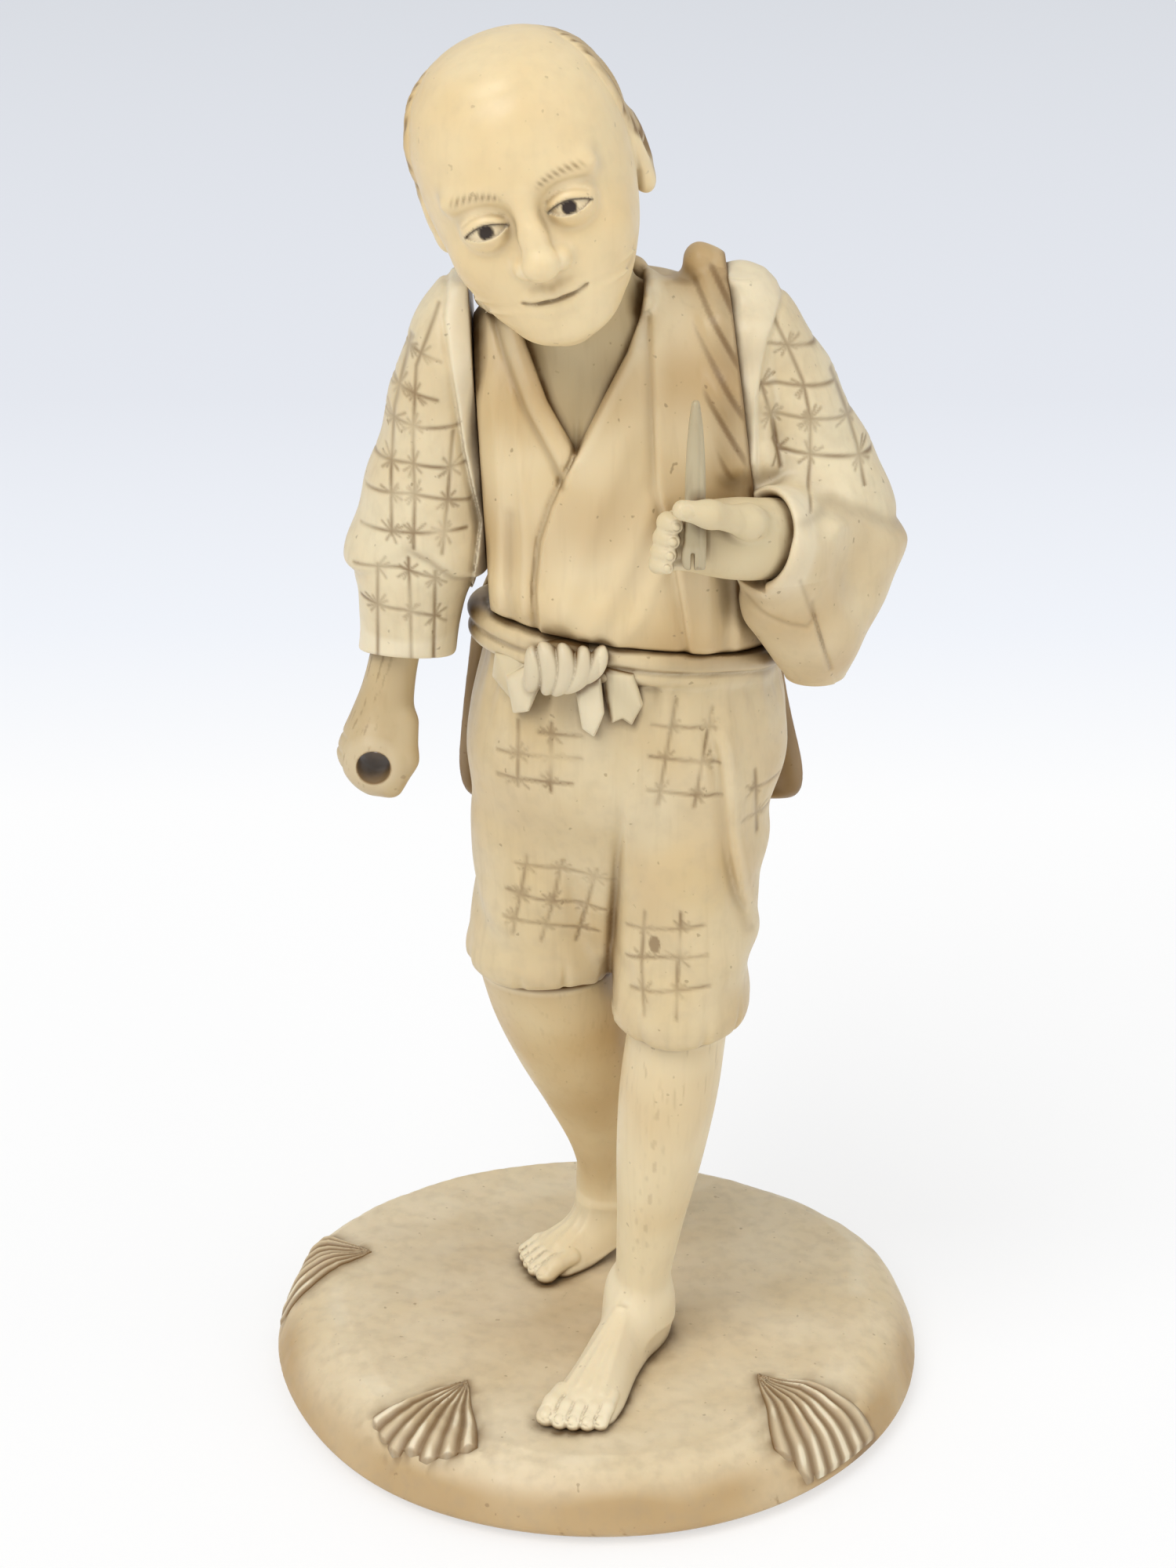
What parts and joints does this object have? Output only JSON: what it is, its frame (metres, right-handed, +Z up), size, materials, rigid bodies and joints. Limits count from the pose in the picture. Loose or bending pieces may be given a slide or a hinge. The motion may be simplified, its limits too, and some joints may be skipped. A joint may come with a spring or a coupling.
{
  "type": "okimono carving",
  "caption": "Standing carved figure of a walker in robe and short trousers on an oval ground base, made in pegged sections, with a turning head and a pierced fist.",
  "frame": {"origin": "centre of the base's flat underside", "axes": "+Z up from the underside; the figure faces -Y and its left side is +X"},
  "size_m": [0.0786, 0.0734, 0.1645],
  "materials": {
    "base_ivory": "satin polish with grey-brown speckle",
    "leg_ivory": "satin polish with fine lengthwise grain",
    "trouser_ivory": "satin polish, brown stain in the incised lines",
    "knot_ivory": "satin polish, rubbed pale on the ridges",
    "robe_ivory": "satin polish, brown stain in the folds",
    "head_ivory": "smooth polish",
    "sleeve_ivory": "satin polish, brown stain in the incised lines",
    "hand_ivory": "satin polish with fine grain",
    "peg_ivory": "turned, unpolished"
  },
  "bodies": {
    "figure": {"base": "base_ivory", "left_leg": "leg_ivory", "right_leg": "leg_ivory", "trousers": "trouser_ivory", "belt_knot": "knot_ivory", "torso": "robe_ivory", "neck_chest": "leg_ivory", "right_sleeve": "sleeve_ivory", "left_sleeve": "sleeve_ivory", "left_hand": "hand_ivory", "held_stick": "hand_ivory", "neck_peg": "peg_ivory", "waist_peg": "peg_ivory", "right_shoulder_peg": "peg_ivory", "left_shoulder_peg": "peg_ivory", "right_wrist_peg": "peg_ivory", "left_wrist_peg": "peg_ivory", "left_knee_peg": "peg_ivory", "right_knee_peg": "peg_ivory", "left_foot_peg": "peg_ivory", "right_foot_peg": "peg_ivory", "knot_peg": "peg_ivory"},
    "head": {"head": "head_ivory"},
    "right_hand": {"right_forearm": "hand_ivory"}
  },
  "joints": [
    {"name": "head_turn", "type": "hinge", "parent": "figure", "child": "head", "pos_m": [-0.00515, -0.00945, 0.14476], "axis": [-0.309, -0.1324, 0.9418], "range_deg": [-15, 15]},
    {"name": "right_hand_turn", "type": "hinge", "parent": "figure", "child": "right_hand", "pos_m": [-0.0214, -0.00551, 0.09939], "axis": [0.1997, 0.1215, 0.9723], "range_deg": [-25, 25]}
  ]
}
